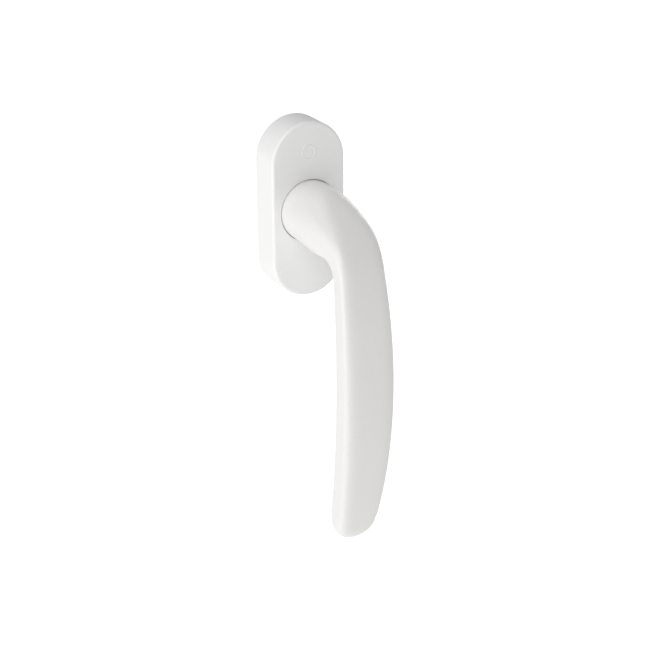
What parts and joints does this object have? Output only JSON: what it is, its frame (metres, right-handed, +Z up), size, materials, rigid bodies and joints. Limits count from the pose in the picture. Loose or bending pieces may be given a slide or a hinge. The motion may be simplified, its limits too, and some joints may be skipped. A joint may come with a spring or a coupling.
{
  "type": "window handle",
  "caption": "Tilt-and-turn window handle: a white bowed lever on an oval screw-on rosette, with a clip-on cover, a square spindle and a ball detent.",
  "frame": {"origin": "on the spindle axis, in the plane of the sash face that the rosette is screwed to", "axes": "+Y points into the sash along the spindle, so the handle's front faces -Y; +Z is up, along the two screws, and the grip hangs towards -Z at rest; +X is to the right as seen from the room"},
  "size_m": [0.0304, 0.0793, 0.1575],
  "materials": {
    "white_coat": "satin powder coat",
    "white_plastic": "moulded",
    "natural_plastic": "moulded",
    "zinc_casting": "as cast",
    "zinc_plated_sheet": "bright zinc plate",
    "zinc_plated_bar": "bright zinc plate",
    "hardened_steel": "ground",
    "spring_steel": "oiled"
  },
  "bodies": {
    "rosette": {"base_plate": "zinc_casting", "rear_plate": "zinc_plated_sheet", "rear_plate_rivets": "zinc_plated_sheet", "neck_bush": "natural_plastic", "fixing_screw_upper": "zinc_plated_bar", "fixing_screw_lower": "zinc_plated_bar", "cover_clip_upper": "spring_steel", "cover_clip_lower": "spring_steel", "detent_spring_upper": "spring_steel", "detent_spring_lower": "spring_steel"},
    "cover": {"cover_cap": "white_coat", "cover_guide_ring": "white_plastic"},
    "lever": {"handle_lever": "white_coat", "spindle": "zinc_plated_bar", "spindle_pin": "spring_steel", "index_ring": "hardened_steel", "disc_spring": "spring_steel", "thrust_washer": "zinc_plated_sheet", "retaining_circlip": "spring_steel"},
    "ball_upper": {"detent_ball_upper": "hardened_steel"},
    "ball_lower": {"detent_ball_lower": "hardened_steel"}
  },
  "joints": [
    {"name": "handle_turn", "type": "hinge", "parent": "rosette", "child": "lever", "pos_m": [0, 0, 0], "axis": [0, -1, 0], "continuous": true},
    {"name": "cover_lift", "type": "slide", "parent": "rosette", "child": "cover", "axis": [0, -1, 0], "range_m": [0, 0.0095]},
    {"name": "ball_upper_travel", "type": "slide", "parent": "rosette", "child": "ball_upper", "axis": [0, 0, -1], "range_m": [0, 0.0004], "stiffness_N_per_m": 1500, "deforming": ["detent_spring_upper"]},
    {"name": "ball_lower_travel", "type": "slide", "parent": "rosette", "child": "ball_lower", "axis": [0, 0, 1], "range_m": [0, 0.0004], "stiffness_N_per_m": 1500, "deforming": ["detent_spring_lower"]}
  ]
}
